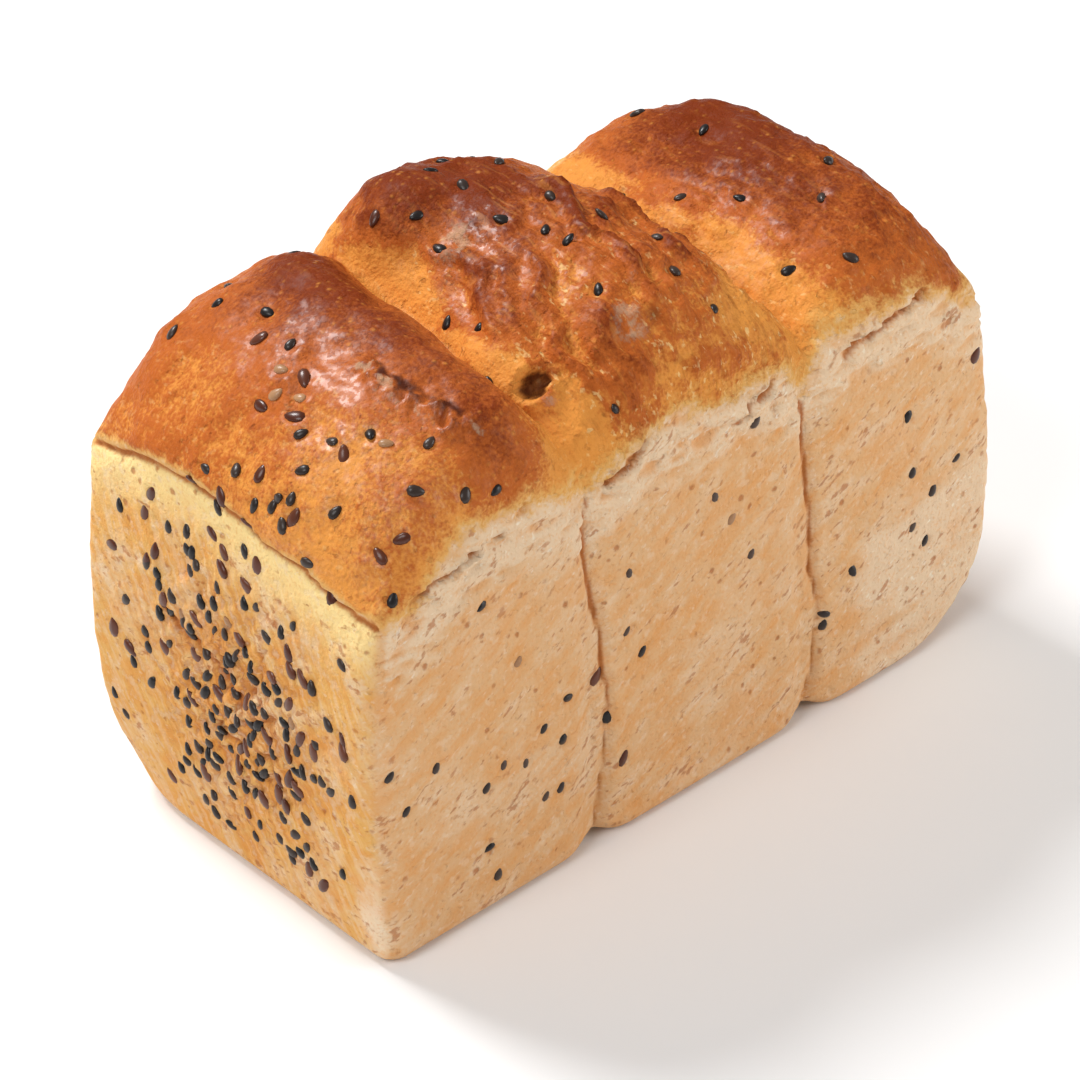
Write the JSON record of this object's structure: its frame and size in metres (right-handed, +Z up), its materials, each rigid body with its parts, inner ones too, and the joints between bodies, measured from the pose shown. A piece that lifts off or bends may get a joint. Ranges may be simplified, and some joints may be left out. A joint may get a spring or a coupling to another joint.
{
  "type": "tin loaf",
  "caption": "Mountain-top tin loaf of bread with domed crowns risen from dough balls baked side by side, pale straight sides, a browned seeded top and a flat base.",
  "frame": {"origin": "centre of the flat base, under the middle of the loaf's bounding box", "axes": "+X along the loaf away from the heavily seeded end, +Y across it to the back, +Z up from the base to the crowns"},
  "size_m": [0.18, 0.0966, 0.1294],
  "materials": {
    "crust": null,
    "black_sesame": "satin black seed coat",
    "linseed": "glossy brown seed coat"
  },
  "bodies": {
    "root": {"black_sesame_01": "black_sesame", "black_sesame_02": "black_sesame", "black_sesame_03": "black_sesame", "black_sesame_04": "black_sesame", "black_sesame_05": "black_sesame", "black_sesame_06": "black_sesame", "black_sesame_07": "black_sesame", "black_sesame_08": "black_sesame", "black_sesame_09": "black_sesame", "black_sesame_10": "black_sesame", "black_sesame_11": "black_sesame", "black_sesame_12": "black_sesame", "black_sesame_13": "black_sesame", "black_sesame_14": "black_sesame", "black_sesame_15": "black_sesame", "black_sesame_16": "black_sesame", "black_sesame_17": "black_sesame", "black_sesame_18": "black_sesame", "black_sesame_19": "black_sesame", "black_sesame_20": "black_sesame", "black_sesame_21": "black_sesame", "black_sesame_22": "black_sesame", "black_sesame_23": "black_sesame", "black_sesame_24": "black_sesame", "black_sesame_25": "black_sesame", "black_sesame_26": "black_sesame", "black_sesame_27": "black_sesame", "black_sesame_28": "black_sesame", "black_sesame_29": "black_sesame", "black_sesame_30": "black_sesame", "black_sesame_31": "black_sesame", "black_sesame_32": "black_sesame", "black_sesame_33": "black_sesame", "black_sesame_34": "black_sesame", "black_sesame_35": "black_sesame", "black_sesame_36": "black_sesame", "black_sesame_37": "black_sesame", "black_sesame_38": "black_sesame", "black_sesame_39": "black_sesame", "black_sesame_40": "black_sesame", "black_sesame_41": "black_sesame", "black_sesame_42": "black_sesame", "black_sesame_43": "black_sesame", "black_sesame_44": "black_sesame", "black_sesame_45": "black_sesame", "black_sesame_46": "black_sesame", "black_sesame_47": "black_sesame", "linseed_01": "linseed", "linseed_02": "linseed", "linseed_03": "linseed", "linseed_04": "linseed", "linseed_05": "linseed", "linseed_06": "linseed", "linseed_07": "linseed", "linseed_08": "linseed", "loaf": "crust"}
  },
  "joints": []
}
